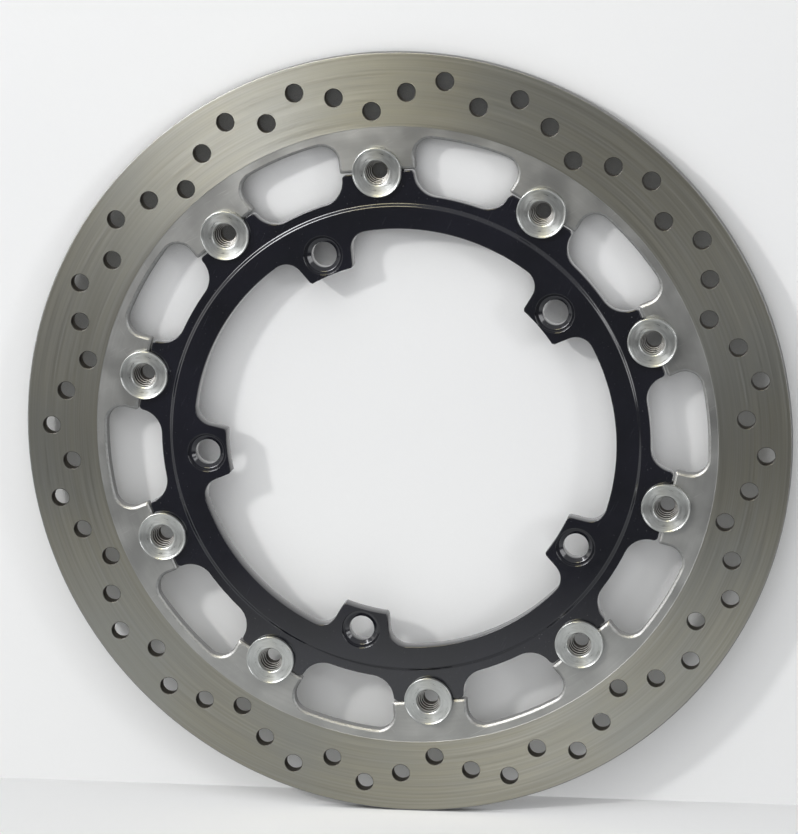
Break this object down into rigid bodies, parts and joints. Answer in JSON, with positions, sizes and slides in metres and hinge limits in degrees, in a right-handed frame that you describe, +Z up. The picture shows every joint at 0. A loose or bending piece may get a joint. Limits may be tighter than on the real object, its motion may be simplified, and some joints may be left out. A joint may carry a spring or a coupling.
{
  "type": "floating brake disc",
  "caption": "Floating motorcycle front brake disc: drilled steel friction ring on hollow drive bobbins around a black bolt-on carrier with inward bolt lugs.",
  "frame": {"origin": "centre of the disc at mid thickness of the friction ring", "axes": "+Y along the disc's axis towards the wheel hub, -Y the outboard face, +Z up as it stands on its edge, +X to the right seen from outboard"},
  "size_m": [0.305, 0.0112, 0.305],
  "materials": {
    "ring_steel": "ground stainless steel, olive-grey swept band with fine concentric marks, satin land inside it",
    "carrier_black": "gloss black coating",
    "bobbin_metal": "turned, bright",
    "spring_steel": "rolled spring steel",
    "washer_steel": "plain stainless steel"
  },
  "bodies": {
    "carrier": {"carrier": "carrier_black"},
    "friction_ring": {"friction_ring": "ring_steel"},
    "bobbin_01": {"bobbin_01": "bobbin_metal", "wave_washer_01": "spring_steel", "flat_washer_01": "washer_steel"},
    "bobbin_02": {"bobbin_02": "bobbin_metal", "wave_washer_02": "spring_steel", "flat_washer_02": "washer_steel"},
    "bobbin_03": {"bobbin_03": "bobbin_metal", "wave_washer_03": "spring_steel", "flat_washer_03": "washer_steel"},
    "bobbin_04": {"bobbin_04": "bobbin_metal", "wave_washer_04": "spring_steel", "flat_washer_04": "washer_steel"},
    "bobbin_05": {"bobbin_05": "bobbin_metal", "wave_washer_05": "spring_steel", "flat_washer_05": "washer_steel"},
    "bobbin_06": {"bobbin_06": "bobbin_metal", "wave_washer_06": "spring_steel", "flat_washer_06": "washer_steel"},
    "bobbin_07": {"bobbin_07": "bobbin_metal", "wave_washer_07": "spring_steel", "flat_washer_07": "washer_steel"},
    "bobbin_08": {"bobbin_08": "bobbin_metal", "wave_washer_08": "spring_steel", "flat_washer_08": "washer_steel"},
    "bobbin_09": {"bobbin_09": "bobbin_metal", "wave_washer_09": "spring_steel", "flat_washer_09": "washer_steel"},
    "bobbin_10": {"bobbin_10": "bobbin_metal", "wave_washer_10": "spring_steel", "flat_washer_10": "washer_steel"}
  },
  "joints": [
    {"name": "ring_float", "type": "slide", "parent": "carrier", "child": "friction_ring", "axis": [0, 1, 0], "range_m": [-0.0002, 0.0002], "stiffness_N_per_m": 20000},
    {"name": "bobbin_01_spin", "type": "hinge", "parent": "carrier", "child": "bobbin_01", "pos_m": [0.09839, 0, 0.04076], "axis": [0, 1, 0], "continuous": true},
    {"name": "bobbin_02_spin", "type": "hinge", "parent": "carrier", "child": "bobbin_02", "pos_m": [0.05565, 0, 0.09081], "axis": [0, 1, 0], "continuous": true},
    {"name": "bobbin_03_spin", "type": "hinge", "parent": "carrier", "child": "bobbin_03", "pos_m": [-0.00836, 0, 0.10617], "axis": [0, 1, 0], "continuous": true},
    {"name": "bobbin_04_spin", "type": "hinge", "parent": "carrier", "child": "bobbin_04", "pos_m": [-0.06917, 0, 0.08098], "axis": [0, 1, 0], "continuous": true},
    {"name": "bobbin_05_spin", "type": "hinge", "parent": "carrier", "child": "bobbin_05", "pos_m": [-0.10356, 0, 0.02486], "axis": [0, 1, 0], "continuous": true},
    {"name": "bobbin_06_spin", "type": "hinge", "parent": "carrier", "child": "bobbin_06", "pos_m": [-0.09839, 0, -0.04076], "axis": [0, 1, 0], "continuous": true},
    {"name": "bobbin_07_spin", "type": "hinge", "parent": "carrier", "child": "bobbin_07", "pos_m": [-0.05565, 0, -0.09081], "axis": [0, 1, 0], "continuous": true},
    {"name": "bobbin_08_spin", "type": "hinge", "parent": "carrier", "child": "bobbin_08", "pos_m": [0.00836, 0, -0.10617], "axis": [0, 1, 0], "continuous": true},
    {"name": "bobbin_09_spin", "type": "hinge", "parent": "carrier", "child": "bobbin_09", "pos_m": [0.06917, 0, -0.08098], "axis": [0, 1, 0], "continuous": true},
    {"name": "bobbin_10_spin", "type": "hinge", "parent": "carrier", "child": "bobbin_10", "pos_m": [0.10356, 0, -0.02486], "axis": [0, 1, 0], "continuous": true}
  ]
}
